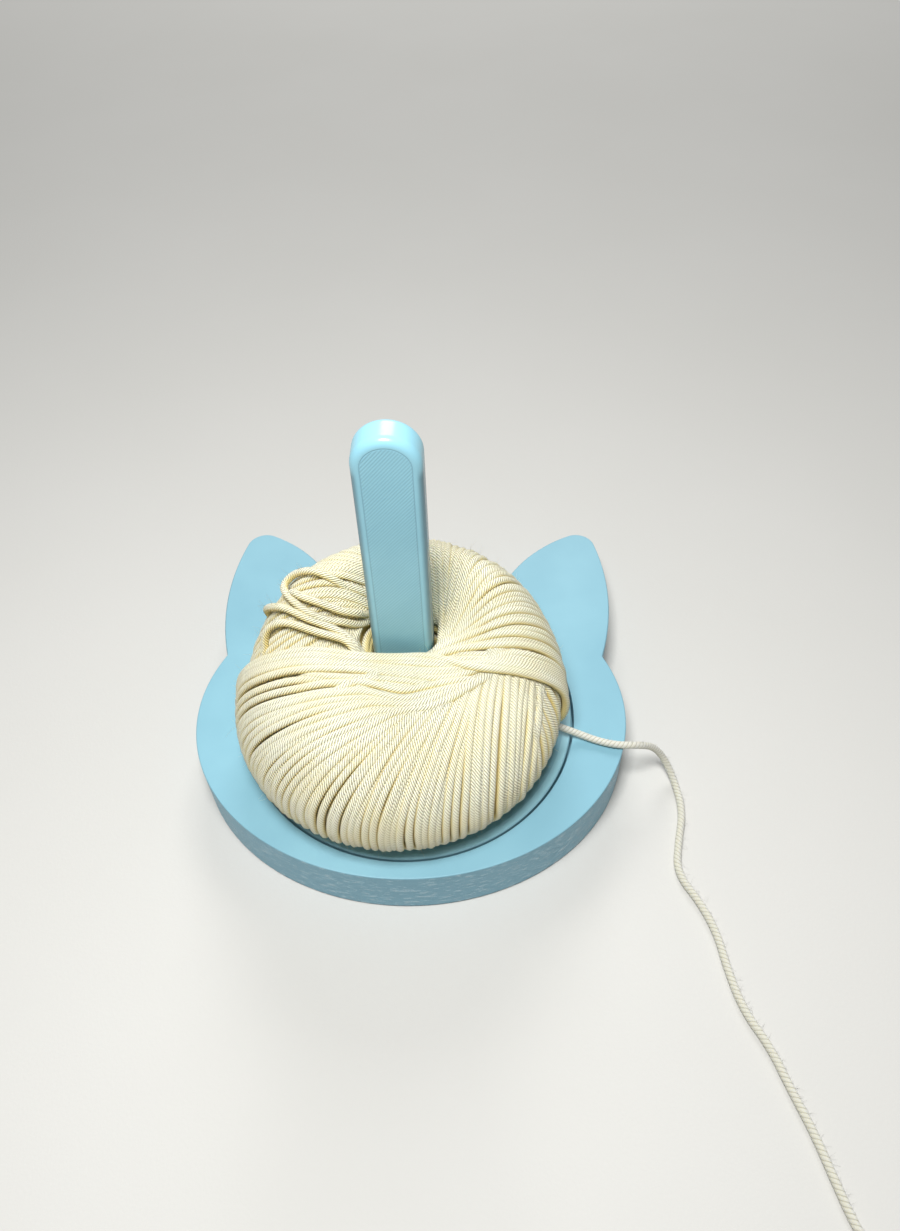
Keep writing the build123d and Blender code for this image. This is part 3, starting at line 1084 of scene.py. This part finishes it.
def spindle_finish():
    """A flat front of fine slanting print lines, with one outline just inside its edge, and painted shade
    on the faces turned left and right below the rounded top.
    """
    finish = Finish("spindle_plastic", Roughness=0.36, Specular_IOR_Level=0.5)
    where, place = finish.place()
    x, z = place[0], place[2]
    shoulder = POST_HIGH.z - POST_HALF_WIDTH
    reach = finish.length(x, finish.math("MAXIMUM", finish.math("SUBTRACT", z, shoulder), 0.0))
    outline = POST_HALF_WIDTH - POST_ROUND - 0.3 * MM
    inside = finish.inverse(finish.between(reach, outline - 0.2 * MM, outline))
    lines = finish.waves(finish.math("SUBTRACT", z, finish.product(x, 1.2)), 1.25 * MM)
    printed = finish.product(lines, inside)
    off = finish.math("ABSOLUTE", finish.math("SUBTRACT", reach, outline))
    groove = finish.inverse(finish.between(off, 0.0, 0.28 * MM))
    colour = cloudy_blue(finish, where, 30.0, POST_BLUE, POST_DEEP)
    # painted shade: faces turned to the left and right are darkened, below the rounded top
    normal = finish.add("ShaderNodeSeparateXYZ")
    finish.put(normal.inputs[0], finish.add("ShaderNodeTexCoord").outputs["Normal"])
    edge = finish.between(finish.math("ABSOLUTE", normal.outputs[0]), 0.12, 0.85)
    low = finish.inverse(finish.between(z, POST_HIGH.z - 1.4 * POST_HALF_WIDTH, shoulder))
    lined = finish.mix(finish.product(printed, 0.24), colour, SPECK)
    marked = finish.mix(finish.product(groove, 0.45), lined, SPECK)
    finish.colour(finish.mix(finish.product(edge, low, 0.8), marked, BLUE_EDGE_SHADE))
    finish.rough(finish.scaled(inside, 0.27, 0.4))
    finish.bumps(
        (printed, 0.04 * MM),
        (finish.inverse(groove), 0.05 * MM),
        (finish.noise(where, 2200.0), 0.004 * MM),
    )
    return finish.material


def metal_finish(name, colour, rough):
    """Plain machined steel with fine turning marks."""
    finish = Finish(name, Metallic=1.0)
    where, place = finish.place()
    streak = finish.noise(where, 900.0, detail=4.0)
    finish.colour(finish.mix(streak, colour, tuple(0.8 * c for c in colour[:3]) + (1.0,)))
    finish.rough(finish.scaled(streak, rough * 0.8, rough * 1.2))
    finish.bumps((finish.waves(place[2], 0.15 * MM), 0.003 * MM))
    return finish.material


def rubber_finish():
    """Matt dark-grey rubber."""
    finish = Finish("pad_rubber", Roughness=0.85)
    where = finish.place()[0]
    cloud = finish.noise(where, 1400.0, detail=4.0)
    finish.colour(finish.mix(cloud, linear(52, 54, 56), linear(70, 72, 74)))
    finish.bumps((cloud, 0.05 * MM))
    return finish.material


def dress(obj, material):
    """The material on every slot of a piece."""
    if not obj.material_slots:
        obj.data.materials.append(material)
    for place in obj.material_slots:
        place.material = material


def dress_all():
    """A finish for every CAD node and every piece."""
    steel = metal_finish("bearing_steel", linear(196, 198, 200), 0.25)
    screw = metal_finish("screw_steel", linear(176, 178, 182), 0.35)
    finishes = {
        "base": base_finish(),
        "turntable_plate": turntable_finish(),
        "spindle_post": spindle_finish(),
        "spindle_screw": screw,
        "retaining_washer": screw,
        "foot_pad": rubber_finish(),
        "bearing": steel,
    }
    for node, obj in frame["nodes"].items():
        for start, material in finishes.items():
            if node.startswith(start):
                dress(obj, material)
    wound = yarn_finish("yarn_wound", YARN_CREST, YARN_SIDE_SHADE, YARN_GROOVE_SHADE, 7, 0.55 * MM)
    for piece in ball_pieces:
        dress(piece, wound)
    # The core is painted in the side and groove colours, as shade where it shows through gaps between
    # strands.
    inner = yarn_finish("yarn_inner", YARN_SIDE_SHADE, YARN_GROOVE_SHADE, YARN_GROOVE_SHADE, 8, 0.2 * MM)
    dress(ball_pieces[0], inner)
    # The loose end's finish uses its colours painted darker as shade.
    loose = yarn_finish("yarn_loose", TAIL_CREST_SHADED, TAIL_SIDE_SHADED, TAIL_GROOVE_SHADED, TAIL_PLIES, 0.08 * MM)
    dress(tail, loose)
    dress(tail_fibres, loose)


dress_all()


# ---- floor and light ----
FLOOR_HALF = 3.0


def add_floor():
    """A sheet of pale paper."""
    size = FLOOR_HALF
    verts = [(-size, -size, 0), (size, -size, 0), (size, size, 0), (-size, size, 0)]
    floor = add_mesh("floor", verts, [(0, 1, 2, 3)])
    finish = Finish("paper", Roughness=0.9, Specular_IOR_Level=0.2)
    where = finish.place()[0]
    cloud = finish.noise(where, 7.0, detail=4.0)
    finish.colour(finish.mix(cloud, linear(200, 199, 194), linear(206, 205, 201)))
    finish.bumps((finish.noise(where, 900.0, detail=4.0), 0.05 * MM))
    dress(floor, finish.material)


def add_lamp(name, azimuth, elevation, distance, size, power, aim=(0.0, 0.0, 0.04)):
    """A square soft lamp, placed about the spin axis: azimuth 0 is the front and 90 the right."""
    data = bpy.data.lights.new(name, "AREA")
    data.size = size
    data.energy = power
    lamp = bpy.data.objects.new(name, data)
    bpy.context.scene.collection.objects.link(lamp)
    a, e = math.radians(azimuth), math.radians(elevation)
    target = from_spin(aim)
    back = Vector((math.sin(a) * math.cos(e), -math.cos(a) * math.cos(e), math.sin(e)))
    lamp.location = target + back * distance
    lamp.rotation_mode = "QUATERNION"
    lamp.rotation_quaternion = (-back).to_track_quat("-Z", "Y")


def add_light():
    """A soft lamp high in front of the part, one over the floor behind it, and a dim even surround."""
    add_lamp("key", azimuth=-8, elevation=73, distance=0.52, size=0.16, power=3.4)
    add_lamp("far", azimuth=180, elevation=60, distance=1.4, size=0.8, power=19.0, aim=(0.0, 0.9, 0.0))
    world = bpy.data.worlds.new("surround")
    world.use_nodes = True
    background = world.node_tree.nodes["Background"]
    background.inputs["Color"].default_value = (0.80, 0.82, 0.84, 1.0)
    background.inputs["Strength"].default_value = 0.18
    bpy.context.scene.world = world
    bpy.context.scene.view_settings.view_transform = "Standard"


add_floor()
add_light()
